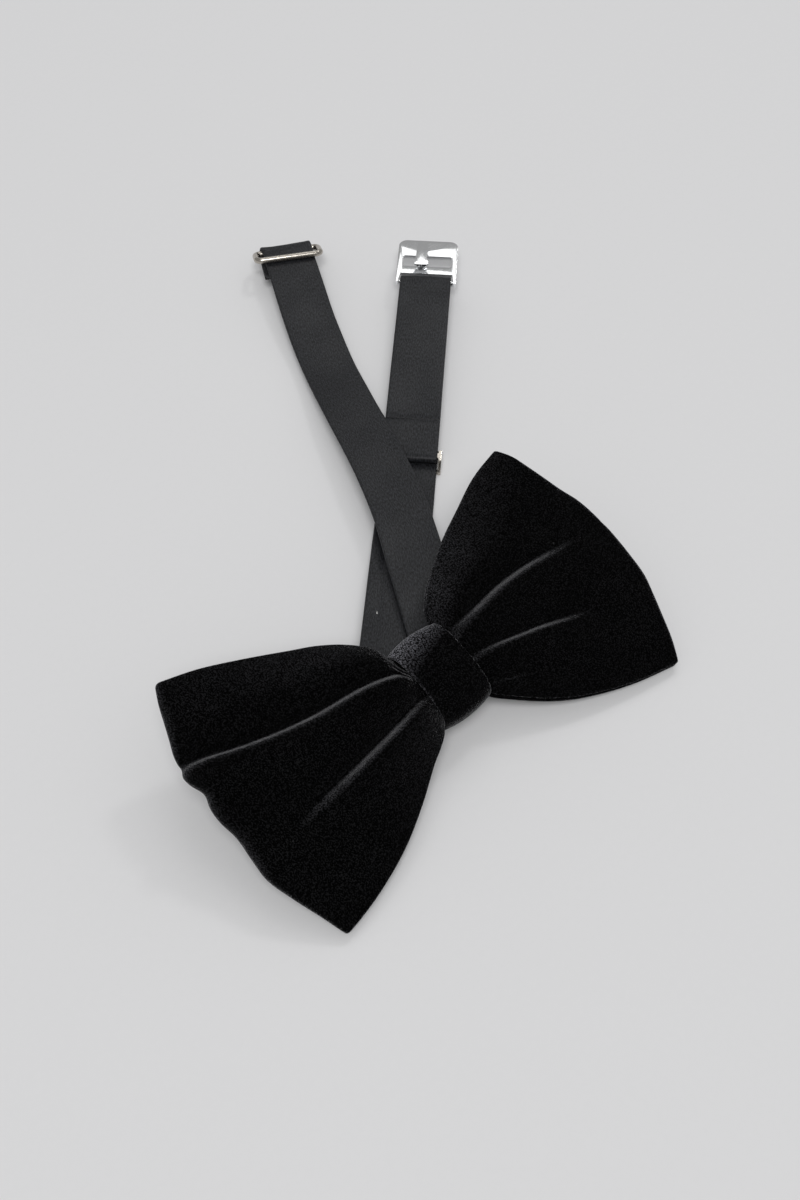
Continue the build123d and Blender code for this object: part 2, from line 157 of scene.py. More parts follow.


# %% [markdown]
# ## Velvet
# Velvet is woven with a cut pile that stands up from the cloth. Light falls in between the
# fibres, so black velvet is the darkest cloth there is, and only where the pile is seen from the
# side, on folds and rims, does it shine. A painted sheen is added to the colour: cloth that
# slopes up and to the left, and a little of the cloth that slopes the other way, gets a greyer
# colour. The pile is about half a millimetre long and lies in small tufts, which the bump and the
# speckle draw.


# %% Velvet
def make_velvet(name, painted_sheen_tone, sheen_starts, sheen_full, downhill_sheen_share):
    """Black cotton velvet with a painted sheen: a lighter tone on sloping cloth, fading in between two
    given slopes.
    """
    material, tree = new_material(name)
    place = add(tree, "ShaderNodeTexCoord").outputs["Object"]
    tuft_width, tuft_length = 0.32 * MM, 0.5 * MM
    rows = add(tree, "ShaderNodeMapping", None, {
        "Vector": place, "Scale": (1 / tuft_width, 1 / tuft_length, 1 / tuft_width)})
    tufts = add(tree, "ShaderNodeTexNoise", None, {
        "Vector": rows.outputs["Vector"], "Scale": 1.0, "Detail": 0.5, "Roughness": 0.5})
    nap_size = 12 * MM
    nap = add(tree, "ShaderNodeTexNoise", None, {
        "Vector": place, "Scale": 1 / nap_size, "Detail": 1.0})
    shade = add(tree, "ShaderNodeValToRGB", None, {"Fac": tufts.outputs["Fac"]})
    shade.color_ramp.elements[0].position = 0.46
    shade.color_ramp.elements[0].color = colour("#000000")
    shade.color_ramp.elements[1].position = 0.68
    shade.color_ramp.elements[1].color = colour("#161617")
    # Painted sheen: a lighter colour for cloth that leans towards a fixed direction in the bow.
    painted_sheen = add(tree, "ShaderNodeValToRGB", None, {"Fac": tufts.outputs["Fac"]})
    painted_sheen.color_ramp.elements[0].position = 0.4
    painted_sheen.color_ramp.elements[0].color = colour("#0a0a0a")
    painted_sheen.color_ramp.elements[1].position = 0.66
    painted_sheen.color_ramp.elements[1].color = colour(painted_sheen_tone)
    # The fixed direction of the painted sheen; slopes the other way get a smaller share of it.
    painted_sheen_direction = up_bow * 0.9 - along_bow * 0.43
    leaning = add(tree, "ShaderNodeVectorMath", {"operation": "DOT_PRODUCT"}, {
        0: add(tree, "ShaderNodeTexCoord").outputs["Normal"], 1: painted_sheen_direction})
    downhill = add(tree, "ShaderNodeMath", {"operation": "MULTIPLY"}, {
        0: leaning.outputs["Value"], 1: -downhill_sheen_share})
    either = add(tree, "ShaderNodeMath", {"operation": "MAXIMUM"}, {
        0: leaning.outputs["Value"], 1: downhill.outputs["Value"]})
    slope = add(tree, "ShaderNodeMapRange", None, {
        "Value": either.outputs["Value"], "From Min": sheen_starts, "From Max": sheen_full,
        "To Min": 0.0, "To Max": 1.0})
    # Tuft speckle, mixed with the painted sheen where the cloth slopes.
    tufts_and_painted_sheen = add(tree, "ShaderNodeMix", {"data_type": "RGBA"}, {
        "Factor": slope.outputs["Result"], "A": shade.outputs["Color"],
        "B": painted_sheen.outputs["Color"]})
    drift = add(tree, "ShaderNodeMapRange", None, {
        "Value": nap.outputs["Fac"], "From Min": 0.3, "From Max": 0.7, "To Min": 0.85, "To Max": 1.15})
    toned = add(tree, "ShaderNodeVectorMath", {"operation": "SCALE"}, {
        0: tufts_and_painted_sheen.outputs["Result"], "Scale": drift.outputs["Result"]})
    lint_size = 9 * MM
    lint = add(tree, "ShaderNodeTexVoronoi", None, {"Vector": place, "Scale": 1 / lint_size})
    speck = add(tree, "ShaderNodeMapRange", None, {
        "Value": lint.outputs["Distance"], "From Min": 0.02, "From Max": 0.035,
        "To Min": 1.0, "To Max": 0.0})
    dusty = add(tree, "ShaderNodeMix", {"data_type": "RGBA"}, {
        "Factor": speck.outputs["Result"], "A": toned.outputs["Vector"], "B": colour("#2c2c2d")})
    bump = add(tree, "ShaderNodeBump", None, {
        "Height": tufts.outputs["Fac"], "Strength": 0.8, "Distance": 0.35 * MM})
    shader = add(tree, "ShaderNodeBsdfPrincipled", None, {
        "Base Color": dusty.outputs["Result"], "Roughness": 0.95, "Specular IOR Level": 0.03,
        "Sheen Weight": 0.35, "Sheen Roughness": 0.22, "Sheen Tint": colour("#d8d8dc"),
        "Normal": bump.outputs["Normal"]})
    show(tree, shader)
    return material


# Both velvets get a painted sheen. On the knot it is lighter, and it hardly shows on slopes the other way.
velvet = make_velvet("black_cotton_velvet", "#3c3c3f", 0.12, 0.9, 0.35)
wrap_velvet = make_velvet("black_cotton_velvet_knot_painted_sheen", "#7a7a80", 0.14, 0.8, 0.05)
print("made", velvet.name, wrap_velvet.name)

# %% [markdown]
# ## Satin
# The neckband is satin: long floats of thread along the band lie side by side and give a soft
# gloss, broken by fine lines. The pattern follows the cloth, so it is drawn in the strap's own
# UV map, which holds real distances. Thread spacing is about 0.1 mm, too fine to show, so the
# lines are drawn 0.35 mm apart.


# %% Satin
def make_satin():
    """Black polyester satin: fine lengthwise threads, soft gloss, slight waves."""
    material, tree = new_material("black_polyester_satin")
    on_cloth = add(tree, "ShaderNodeUVMap", {"uv_map": "cloth"}).outputs["UV"]
    thread_gap, float_length = 0.35 * MM, 1.1 * MM
    stretched = add(tree, "ShaderNodeMapping", None, {
        "Vector": on_cloth, "Scale": (1 / float_length, 1 / thread_gap, 1.0)})
    threads = add(tree, "ShaderNodeTexNoise", None, {
        "Vector": stretched.outputs["Vector"], "Scale": 1.0, "Detail": 3.0, "Roughness": 0.6})
    place = add(tree, "ShaderNodeTexCoord").outputs["Object"]
    wave_size = 14 * MM
    waves = add(tree, "ShaderNodeTexNoise", None, {
        "Vector": place, "Scale": 1 / wave_size, "Detail": 2.0})
    shade = add(tree, "ShaderNodeValToRGB", None, {"Fac": threads.outputs["Fac"]})
    shade.color_ramp.elements[0].position = 0.38
    shade.color_ramp.elements[0].color = colour("#08090a")
    shade.color_ramp.elements[1].position = 0.66
    shade.color_ramp.elements[1].color = colour("#323337")
    fine = add(tree, "ShaderNodeBump", None, {
        "Height": threads.outputs["Fac"], "Strength": 0.6, "Distance": 0.15 * MM})
    soft = add(tree, "ShaderNodeBump", None, {
        "Height": waves.outputs["Fac"], "Strength": 0.25, "Distance": 2 * MM,
        "Normal": fine.outputs["Normal"]})
    gloss = add(tree, "ShaderNodeMapRange", None, {
        "Value": waves.outputs["Fac"], "From Min": 0.3, "From Max": 0.7, "To Min": 0.42, "To Max": 0.56})
    shader = add(tree, "ShaderNodeBsdfPrincipled", None, {
        "Base Color": shade.outputs["Color"], "Roughness": gloss.outputs["Result"],
        "Specular IOR Level": 0.28, "Anisotropic": 0.4,
        "Normal": soft.outputs["Normal"]})
    show(tree, shader)
    return material


satin = make_satin()
print("made", satin.name)

# %% [markdown]
# ## Thread, canvas and felt
# Polyester sewing thread is two twisted yarns, so it has fine slanting ridges. Canvas and felt
# stiffen the tie from inside and hardly show: canvas is a plain weave, felt is matted fibre.


# %% Thread
def make_thread():
    """Twisted black sewing thread."""
    material, tree = new_material("twisted_sewing_thread")
    place = add(tree, "ShaderNodeTexCoord").outputs["Object"]
    twist = 0.4 * MM
    yarns = add(tree, "ShaderNodeTexWave", {"bands_direction": "DIAGONAL"}, {
        "Vector": place, "Scale": 0.05 / twist, "Distortion": 0.5})
    bump = add(tree, "ShaderNodeBump", None, {
        "Height": yarns.outputs["Fac"], "Strength": 0.5, "Distance": 0.1 * MM})
    shade = add(tree, "ShaderNodeMix", {"data_type": "RGBA"}, {
        "Factor": yarns.outputs["Fac"], "A": colour("#141516"), "B": colour("#26272a")})
    shader = add(tree, "ShaderNodeBsdfPrincipled", None, {
        "Base Color": shade.outputs["Result"], "Roughness": 0.5, "Normal": bump.outputs["Normal"]})
    show(tree, shader)
    return material


# %% Canvas and felt
def make_canvas():
    """Unbleached interlining canvas: a plain weave of 0.5 mm threads."""
    material, tree = new_material("interlining_canvas")
    place = add(tree, "ShaderNodeTexCoord").outputs["Object"]
    thread = 0.5 * MM
    weave = add(tree, "ShaderNodeTexChecker", None, {
        "Vector": place, "Scale": 1 / thread, "Color1": colour("#cfc7b4"), "Color2": colour("#b9b09a")})
    bump = add(tree, "ShaderNodeBump", None, {
        "Height": weave.outputs["Fac"], "Strength": 0.4, "Distance": 0.1 * MM})
    shader = add(tree, "ShaderNodeBsdfPrincipled", None, {
        "Base Color": weave.outputs["Color"], "Roughness": 0.9, "Normal": bump.outputs["Normal"]})
    show(tree, shader)
    return material


def make_felt():
    """Matted polyester felt."""
    material, tree = new_material("polyester_felt")
    place = add(tree, "ShaderNodeTexCoord").outputs["Object"]
    fibre = 0.6 * MM
    mat = add(tree, "ShaderNodeTexNoise", None, {
        "Vector": place, "Scale": 1 / fibre, "Detail": 4.0, "Distortion": 1.5})
    shade = add(tree, "ShaderNodeMix", {"data_type": "RGBA"}, {
        "Factor": mat.outputs["Fac"], "A": colour("#c4c4c0"), "B": colour("#dededa")})
    bump = add(tree, "ShaderNodeBump", None, {
        "Height": mat.outputs["Fac"], "Strength": 0.6, "Distance": 0.2 * MM})
    shader = add(tree, "ShaderNodeBsdfPrincipled", None, {
        "Base Color": shade.outputs["Result"], "Roughness": 0.95, "Normal": bump.outputs["Normal"]})
    show(tree, shader)
    return material


thread_finish = make_thread()
canvas_finish = make_canvas()
felt_finish = make_felt()
print("made", thread_finish.name, canvas_finish.name, felt_finish.name)

# %% [markdown]
# ## Two metals
# The hook is stamped from steel sheet and bright chromed. The ring and the slide are bent and
# nickel plated, with a warmer and duller surface. Both have fine scratches from polishing, which
# vary the roughness.


# %% Plated metal
def make_plating(name, base, low, high):
    """Plated steel; low and high are the roughness between polishing marks."""
    material, tree = new_material(name)
    place = add(tree, "ShaderNodeTexCoord").outputs["Object"]
    mark_gap, mark_length = 0.25 * MM, 3 * MM
    brushed = add(tree, "ShaderNodeMapping", None, {
        "Vector": place, "Rotation": (0.0, 0.0, math.radians(43.8)),
        "Scale": (1 / mark_length, 1 / mark_gap, 1 / mark_gap)})
    marks = add(tree, "ShaderNodeTexNoise", None, {
        "Vector": brushed.outputs["Vector"], "Scale": 1.0, "Detail": 2.0})
    rough = add(tree, "ShaderNodeMapRange", None, {
        "Value": marks.outputs["Fac"], "From Min": 0.3, "From Max": 0.7, "To Min": low, "To Max": high})
    bump = add(tree, "ShaderNodeBump", None, {
        "Height": marks.outputs["Fac"], "Strength": 0.12, "Distance": 0.02 * MM})
    shader = add(tree, "ShaderNodeBsdfPrincipled", None, {
        "Base Color": colour(base), "Metallic": 1.0, "Roughness": rough.outputs["Result"],
        "Normal": bump.outputs["Normal"]})
    show(tree, shader)
    return material


bright_chrome = make_plating("bright_chrome_plate", "#eeeff0", 0.10, 0.22)
nickel = make_plating("satin_nickel_plate", "#b9b3aa", 0.18, 0.34)
print("made", bright_chrome.name, nickel.name)

# %% [markdown]
# ## Smooth lines through a few places
# Cloth lies in smooth curves. A few given places are joined by a curve whose slope at each
# place follows its two neighbours, and one function does this for outlines and for straps.


# %% Smooth interpolation
def smooth(places, at):
    """Values at the given positions on a smooth curve through places, rows of (position, ...)."""
    table = np.array(places, float)
    x, y = table[:, 0], table[:, 1:]
    slope = np.gradient(y, x, axis=0)
    at = np.clip(at, x[0], x[-1])
    i = np.clip(np.searchsorted(x, at, side="right") - 1, 0, len(x) - 2)
    step = (x[i + 1] - x[i])[:, None]
    t = ((at - x[i]) / (x[i + 1] - x[i]))[:, None]
    start, end = y[i], y[i + 1]
    return (
        start * (1 + 2 * t) * (1 - t) ** 2 + slope[i] * step * t * (1 - t) ** 2
        + end * t * t * (3 - 2 * t) + slope[i + 1] * step * t * t * (t - 1)
    )


# %% Making a closed cloth mesh from rings of points
def cloth_mesh(name, rings, distances, material):
    """Join equal rings of points into a tube with closed ends; UVs hold real distances."""
    count, around = len(rings), len(rings[0])
    points = [tuple(p) for ring in rings for p in ring]
    faces, corners = [], []
    for i in range(count - 1):
        for j in range(around):
            k = (j + 1) % around
            faces.append((i * around + j, i * around + k, (i + 1) * around + k, (i + 1) * around + j))
            across = [distances[1][j], distances[1][j + 1], distances[1][j + 1], distances[1][j]]
            length = [distances[0][i], distances[0][i], distances[0][i + 1], distances[0][i + 1]]
            corners.extend(zip(length, across))
    for i in (0, count - 1):
        faces.append(tuple(i * around + j for j in range(around)))
        corners.extend((distances[0][i], distances[1][j]) for j in range(around))
    mesh = bpy.data.meshes.new(name)
    mesh.from_pydata(points, [], faces)
    cloth = mesh.uv_layers.new(name="cloth")
    cloth.data.foreach_set("uv", np.array(corners, float).ravel())
    build = bmesh.new()
    build.from_mesh(mesh)
    bmesh.ops.recalc_face_normals(build, faces=build.faces)
    build.to_mesh(mesh)
    build.free()
    mesh.shade_smooth()
    mesh.materials.append(material)
    piece = put_in_scene(name, mesh)
    return piece


# %% [markdown]
# ## Straps
# The neckband is a satin tube pressed flat, 18 mm wide and 1 mm thick, with soft edges a little
# fuller than its middle. A strap is that section carried along a route. Each place on the route
# has the direction its upper face looks in, so that a strap can turn over, fold and lean.


# %% One strap
def strap(name, route, width, thickness, material=satin, seam=None, step=0.8):
    """Carry the strap's section along route, a list of (place, facing) pairs."""
    places = np.array([tuple(p) for p, _ in route])
    lengths = np.r_[0, np.cumsum(np.linalg.norm(np.diff(places, axis=0), axis=1))]
    table = np.c_[lengths, places, np.array([tuple(f) for _, f in route])]
    count = max(8, int(lengths[-1] / (step * MM)))
    at = np.linspace(0, lengths[-1], count)
    made = smooth(table, at)
    centre, facing = made[:, :3], made[:, 3:]
    forward = np.gradient(centre, at, axis=0)
    forward /= np.linalg.norm(forward, axis=1)[:, None]
    right = np.cross(forward, facing)
    right /= np.linalg.norm(right, axis=1)[:, None]
    up = np.cross(right, forward)
    half, deep = width / 2 * MM, thickness / 2 * MM
    top = np.linspace(-1, 1, 21)
    fuller = 1 + 0.12 * np.abs(top) ** 6
    flat = half - deep
    upper = [(flat * t, deep * f) for t, f in zip(top, fuller)]
    edge = [math.radians(a) for a in (60, 30, 0, -30, -60)]
    right_edge = [(flat + deep * math.cos(a), 1.12 * deep * math.sin(a)) for a in edge]
    section = np.array(upper + right_edge + [(-w, -d) for w, d in upper + right_edge])
    sag = np.zeros(len(section))
    if seam is not None:
        groove = np.exp(-(((section[:, 0] / MM - seam) / 0.5) ** 2)) * (section[:, 1] > 0)
        sag = -0.45 * MM * groove
    rings = []
    for i in range(count):
        s = at[i] / MM
        ripple = 0.10 * MM * (np.sin(s / 7.3 + section[:, 0] * 260) + np.sin(s / 4.1 - section[:, 0] * 190))
        ripple = ripple * min(1.0, i / 6, (count - 1 - i) / 6) * min(1.0, thickness)
        height = section[:, 1] + sag + ripple
        rings.append(centre[i] + np.outer(section[:, 0], right[i]) + np.outer(height, up[i]))
    steps = np.linalg.norm(np.diff(np.vstack([section, section[:1]]), axis=0), axis=1)
    around = np.r_[0, np.cumsum(steps)]
    return cloth_mesh(name, rings, (at, around), material)


# %% [markdown]
# ## The arm with the hook
# This arm leaves the bow under the left wing, where the band is folded over to change direction.
# It drops to the table, passes under the other arm and rises a little towards the hook. The
# tube's closing seam shows on this side as a fine groove.

# %% Hook arm
band_width, band_thickness = 18.0, 1.0
core_width, core_thickness = band_width - 1.6, 0.2   # the stiffener fits between the side seams
arm_angle = math.radians(43.8)
arm_heading = Vector((math.cos(arm_angle), math.sin(arm_angle), 0))
fold_place = (-17.2, -0.74)
upright = Vector((0, 0, 1))


def on_arm(s, height, lean=0.0):
    """A route place on the hook arm: s along it in plan, height above the table, sideways lean."""
    x, y = fold_place[0] + arm_heading.x * s, fold_place[1] + arm_heading.y * s
    turned = upright * math.cos(lean) - run_right * math.sin(lean)
    return on_table(x, y, height), turned


soft_part = [
    on_arm(-4, 8.3, -0.23), on_arm(4, 8.7, -0.22), on_arm(14, 8.5, -0.17), on_arm(26, 7.6, -0.08),
    on_arm(40, 6.7), on_arm(56, 5.6), on_arm(74, 3.4), on_arm(88, 1.7),
]
straight_part = [(on_run(s, 0), run_up) for s in (-10, 0, 20, 40, 60, run_length - 4)]
hook_arm = strap("hook_arm_satin", soft_part + straight_part, band_width, band_thickness, seam=-4.7)
hook_arm_core = strap(
    "hook_arm_core", (soft_part + straight_part)[4:-1], core_width, core_thickness,
    material=felt_finish)

# %% [markdown]
# ## The arm with the ring
# The other arm comes out from behind the knot and lies over the first one. It bends a little
# both ways, then goes round the ring's bar, back under itself, and is stitched there.

# %% Eye arm
eye_bar = Vector(joints["eye_swing"]["pos_m"])
eye_across = Vector(joints["eye_swing"]["axis"])
eye_out = eye_across.cross(upright)
eye_plan = [
    (0, 12.2, 6.0), (32, 28.0, 34.2), (57, 40.0, 56.0), (107, 59.0, 102.5), (152, 76.9, 143.6),
    (190, 94.1, 177.6),
]
eye_heights = [
    (-6, 8.6), (0, 8.6), (30, 8.9), (62, 8.8), (98, 7.9), (126, 4.0), (146, 4.8), (168, 6.9), (190, 8.0),
]
fold_radius = 1.66


def on_eye_arm(s):
    """A route place on the eye arm, s along it in plan."""
    x, y = smooth(eye_plan, np.array([s]))[0]
    height = smooth(eye_heights, np.array([s]))[0][0]
    lean = 0.23 * max(0.0, 1 - s / 30)
    return on_table(x, y, height), upright * math.cos(lean) - Vector((0, 1, 0)) * math.sin(lean)


def round_ring_bar(degrees, shift=0.0):
    """A route place on the turn round the ring's bar; 0 is on top and 180 is underneath."""
    a = math.radians(degrees)
    outward = upright * math.cos(a) + eye_out * math.sin(a)
    return eye_bar + outward * fold_radius * MM + eye_across * shift * MM, outward


eye_route = [on_eye_arm(s) for s in (0, 15, 32, 57, 82, 107, 130, 152, 170, 182)]
eye_turn = [round_ring_bar(d, 0.8 * d / 180) for d in (0, 30, 60, 90, 120, 150, 180)]
eye_tail = [
    (eye_bar + (-eye_out * s - upright * (fold_radius - 1.5 * s / 13.5) + eye_across * 0.9) * MM, -upright)
    for s in (4.0, 9.0, 13.5)
]
whole_eye_route = eye_route + eye_turn + eye_tail
eye_arm = strap("eye_arm_satin", whole_eye_route, band_width, band_thickness, step=0.6)
eye_arm_core = strap(
    "eye_arm_core", eye_route[1:-1], core_width, core_thickness, material=felt_finish)

# %% [markdown]
# ## The band behind the knot
# Between the two arms the band runs straight through the knot, as far as its slantwise fold
# onto the arm below it.

# %% Band behind the knot
behind = -5.0
centre_route = [(on_bow(x, knot_y, behind), out_of_bow) for x in (-16.0, -8.0, 2.5, 9.0, 15.0)]
band_centre = strap("band_centre_satin", centre_route, band_width, band_thickness)

# %% [markdown]
# ## The adjuster
# The band goes round the hook's bar and comes back on top of itself to the slide, where it is
# folded round the middle bar and stitched down. When the slide moves, this layer gets longer or
# shorter. The part round the hook's bar keeps its shape and moves with the hook end. They meet
# at the small crease before the hook.

# %% Adjuster layer and hook loop
tail_level, top_level = 1.2, 3.07
turn_level = (tail_level + top_level) / 2
turn_radius = (top_level - tail_level) / 2
tail_end, stitch_line, crease = 16.0, 14.6, run_length - 6.0
hook_turn = 1.6


def round_slide(degrees):
    """A route place on the turn round the slide's middle bar; 0 is underneath, 180 on top."""
    a = math.radians(degrees)
    outward = -run_up * math.cos(a) - run_along * math.sin(a)
    return on_run(-1.3, turn_level) + outward * turn_radius * MM, -outward


adjuster_route = [(on_run(s, tail_level), run_up) for s in (tail_end, 9.0, 3.0, 0.5)]
adjuster_route += [(p, f) for p, f in (round_slide(d) for d in (0, 45, 90, 135, 180))]
adjuster_route += [
    (on_run(1.5, top_level + 0.1), -run_up), (on_run(8, top_level), -run_up),
    (on_run(stitch_line - 1.2, top_level - 0.05), -run_up),
    (on_run(stitch_line, top_level - 0.35), -run_up),
    (on_run(stitch_line + 1.2, top_level - 0.1), -run_up),
    (on_run(22, top_level - 0.15), -run_up), (on_run(40, 2.5), -run_up),
    (on_run(58, 1.9), -run_up), (on_run(crease - 4, 1.75), -run_up), (on_run(crease, 1.62), -run_up),
]
adjuster = strap("adjuster_satin", adjuster_route, band_width, 0.85, step=0.5)


def round_hook_bar(degrees):
    """A route place on the turn round the hook's bar; 0 is on top and 180 is underneath."""
    a = math.radians(degrees)
    outward = run_up * math.cos(a) + run_along * math.sin(a)
    return hook_bar + outward * hook_turn * MM, outward


loop_route = [(on_run(crease - 0.6, 1.65), run_up), (on_run(run_length - 3, 1.68), run_up)]
loop_route += [round_hook_bar(d) for d in (0, 45, 90, 135, 180)]
loop_route += [(on_run(run_length - s, -1.26), -run_up) for s in (4, 15, 35)]
hook_loop = strap("hook_loop_satin", loop_route, band_width, 0.9, step=0.5)

# %% [markdown]
# ## The wings
# Each wing is a loop of velvet: a front and a back panel joined by a rounded outer fold. The
# waist is gathered into the knot, which leaves two pleats in the front panel. At a pleat the
# lower cloth stands over the upper cloth, so the height steps up, falls off gently below and
# dips above. The outer surface is made as a grid, and a Solidify modifier gives it its thickness
# inwards, so that the pleats stay exactly as they are drawn. Points lie closer together there.

# %% Shapes of the two wings
left_shape = {
    "side": -1, "reach": 65.4,
    "outer": [(-1, 64.6), (-0.82, 66.4), (-0.62, 69.0), (-0.42, 71.2), (-0.28, 70.9), (-0.1, 70.4),
              (0.04, 71.3), (0.14, 71.0), (0.23, 69.6), (0.33, 70.9), (0.44, 71.4), (0.54, 70.6),
              (0.64, 68.8), (0.76, 67.0), (0.88, 65.4), (1, 63.4)],
    "top": [(0, 8.0), (7.8, 8.8), (9.2, 14.4), (11.5, 17.2), (15.5, 20.8), (21.5, 24.8), (30.5, 29.0),
            (42.5, 34.4), (54.5, 39.2), (65.4, 42.2)],
    "bottom": [(0, -13.0), (7.8, -13.4), (9.2, -15.6), (11.5, -17.4), (17.5, -20.8), (26.5, -26.6),
               (38.5, -33.2), (50.5, -37.8), (60.5, -40.4), (65.4, -41.3)],
    "pleats": [
        {"line": [(0, 2.2), (8.4, 3.5), (22, 6.5), (36.5, 8.1), (50, 11.0), (59, 13.8), (67, 16.8),
                  (74, 18.5)],
         "step": [(0, 0.4), (8.4, 1.4), (20, 2.6), (50, 3.0), (64, 2.8), (74, 2.0)]},
        {"line": [(0, -4.8), (8.4, -5.7), (20, -7.6), (32, -9.2), (44, -10.7), (53, -11.8), (74, -15.5)],
         "step": [(0, 0.4), (8.4, 1.2), (18, 2.6), (36, 2.8), (48, 1.6), (56, 0.4), (64, 0.0), (74, 0.0)]},
    ],
}
right_shape = {
    "side": 1, "reach": 62.5,
    "outer": [(-1, 60.0), (-0.84, 62.6), (-0.68, 64.7), (-0.53, 66.9), (-0.38, 69.1), (-0.2, 70.0),
              (0, 70.4), (0.2, 70.1), (0.35, 69.0), (0.47, 67.2), (0.6, 65.9), (0.75, 64.6),
              (0.9, 63.3), (1, 61.2)],
    "top": [(0, 8.0), (7.8, 8.8), (9.2, 14.6), (11.0, 17.0), (14.5, 20.3), (21.5, 25.2), (29.5, 29.9),
            (40.5, 35.1), (51.5, 40.1), (62.5, 43.0)],
    "bottom": [(0, -13.0), (7.8, -13.4), (9.2, -15.8), (11.0, -17.4), (14.5, -20.4), (20.5, -25.2),
               (28.5, -30.2), (36.5, -33.8), (47.5, -37.6), (62.5, -41.0)],
    "pleats": [
        {"line": [(0, 3.6), (8.4, 4.6), (21, 5.9), (28, 6.9), (35, 7.2), (42, 7.0), (50, 6.2), (72, 4.0)],
         "step": [(0, 0.4), (8.4, 1.2), (20, 2.4), (36, 2.6), (46, 1.8), (56, 0.6), (72, 0.1)]},
        {"line": [(0, -3.6), (8.4, -4.4), (18, -6.3), (25, -8.0), (32, -9.8), (42, -13.0), (72, -22)],
         "step": [(0, 0.4), (8.4, 1.1), (18, 2.1), (31, 2.2), (40, 1.2), (48, 0.3), (72, 0.0)]},
        {"line": [(0, -9.0), (8.4, -12.5), (14, -15.5), (20, -18.0), (28, -21.0), (72, -38)],
         "step": [(0, 0.0), (8.4, 0.9), (14, 1.3), (20, 0.9), (28, 0.3), (36, 0.0), (72, 0.0)]},
    ],
}
crown = [(0, 2.6), (7.8, 4.4), (9.4, 5.4), (12, 6.8), (24, 8.2), (40, 7.6), (56, 6.2), (66, 4.6),
         (75, 3.2)]
layer = 1.4                          # one lined velvet panel, mm


# %% Height of the front panel
def pleat_height(above, step):
    """Height across a pleat: above is the distance above its crease, step its size."""
    under = 1 / (1 + np.exp(np.clip(above / 0.55, -30, 30)))
    ridge = step * np.exp(-((np.minimum(above, 0) / 8.0) ** 2))
    dip = -0.7 * step * np.exp(-((np.maximum(above, 0) / 6.0) ** 2))
    groove = -0.45 * step * np.exp(-(((above - 1.4) / 0.9) ** 2))
    return ridge * under + dip * (1 - under) + groove


def front_height(shape, d, y, v):
    """How far the front panel stands out, at distance d from the knot, height y, share v."""
    lift = smooth(crown, d)[:, 0]
    height = layer + (lift - layer) * (1 - np.abs(v) ** 2.6)
    for pleat in shape["pleats"]:
        line, step = smooth(pleat["line"], d)[:, 0], smooth(pleat["step"], d)[:, 0]
        height = height + pleat_height(y - line, np.maximum(step, 0)) * (1 - np.abs(v) ** 6)
    return height


# %% One wing
def wing_grid(shape, across, outwards, inset=0.0):
    """Places of the front panel: plan distance, height up the bow and share across."""
    v = np.repeat(across[None, :], len(outwards), 0)
    u = np.repeat(outwards[:, None], len(across), 1)
    edge = (u * shape["reach"]).ravel()
    top = smooth(shape["top"], edge)[:, 0].reshape(u.shape) - inset
    bottom = smooth(shape["bottom"], edge)[:, 0].reshape(u.shape) + inset
    outer = smooth(shape["outer"], v.ravel())[:, 0].reshape(v.shape) - inset
    d = u * outer
    y = bottom + (top - bottom) * (v + 1) / 2
    return d, y, v


def grid_faces(rows, wide, side):
    """The faces of a grid of points, turned round on the right wing so that they face outwards."""
    faces = [
        (i * wide + j, i * wide + j + 1, (i + 1) * wide + j + 1, (i + 1) * wide + j)
        for i in range(rows - 1) for j in range(wide - 1)]
    return [tuple(reversed(face)) for face in faces] if side > 0 else faces


def make_wing(name, shape):
    """A velvet loop: front panel, outer fold and back panel as one sheet with thickness."""
    even = np.linspace(-1, 1, 400)
    upper_pleat = 1.8 * np.exp(-(((even - 0.31) / 0.13) ** 2))
    lower_pleat = 1.8 * np.exp(-(((even + 0.34) / 0.1) ** 2))
    needed = 1 + upper_pleat + lower_pleat
    used = np.cumsum(needed)
    across = np.interp(np.linspace(used[0], used[-1], 100), used, even)
    outwards = np.linspace(0, 1, 50)
    d, y, v = wing_grid(shape, across, outwards)
    front = front_height(shape, d.ravel(), y.ravel(), v.ravel()).reshape(d.shape)
    lift = smooth(crown, d.ravel())[:, 0].reshape(d.shape)
    back = -(layer + 0.5 * (lift - layer) * (1 - np.abs(v) ** 2.6))
    rows = [(d[i], y[i], front[i]) for i in range(len(outwards))]
    turn_high, turn_low = front[-1], back[-1]
    for angle in np.radians([30, 60, 90, 120, 150]):
        middle, radius = (turn_high + turn_low) / 2, (turn_high - turn_low) / 2
        rows.append((d[-1] + 0.8 * radius * np.sin(angle), y[-1], middle + radius * np.cos(angle)))
    rows += [(d[i], y[i], back[i]) for i in reversed(range(len(outwards)))]
    points = [
        tuple(on_bow(knot_x + shape["side"] * (a + 0.4), b, c)) for row in rows for a, b, c in zip(*row)]
    faces = grid_faces(len(rows), len(across), shape["side"])
    mesh = bpy.data.meshes.new(name)
    mesh.from_pydata(points, [], faces)
    mesh.materials.append(velvet)
    piece = put_in_scene(name, mesh)
    return piece


def bake_modifiers(piece):
    """Turn a piece's modifiers into plain mesh."""
    seen = piece.evaluated_get(bpy.context.evaluated_depsgraph_get())
    mesh = bpy.data.meshes.new_from_object(seen)
    piece.modifiers.clear()
    piece.data = mesh
    mesh.shade_smooth()
    return piece


def thicken(piece, thickness, rounds):
    """Give a surface its thickness inwards and round its rims."""
    shell = piece.modifiers.new("thickness", "SOLIDIFY")
    shell.thickness, shell.offset = thickness, -1.0
    soft = piece.modifiers.new("soft_rims", "SUBSURF")
    soft.levels = soft.render_levels = rounds
    return bake_modifiers(piece)


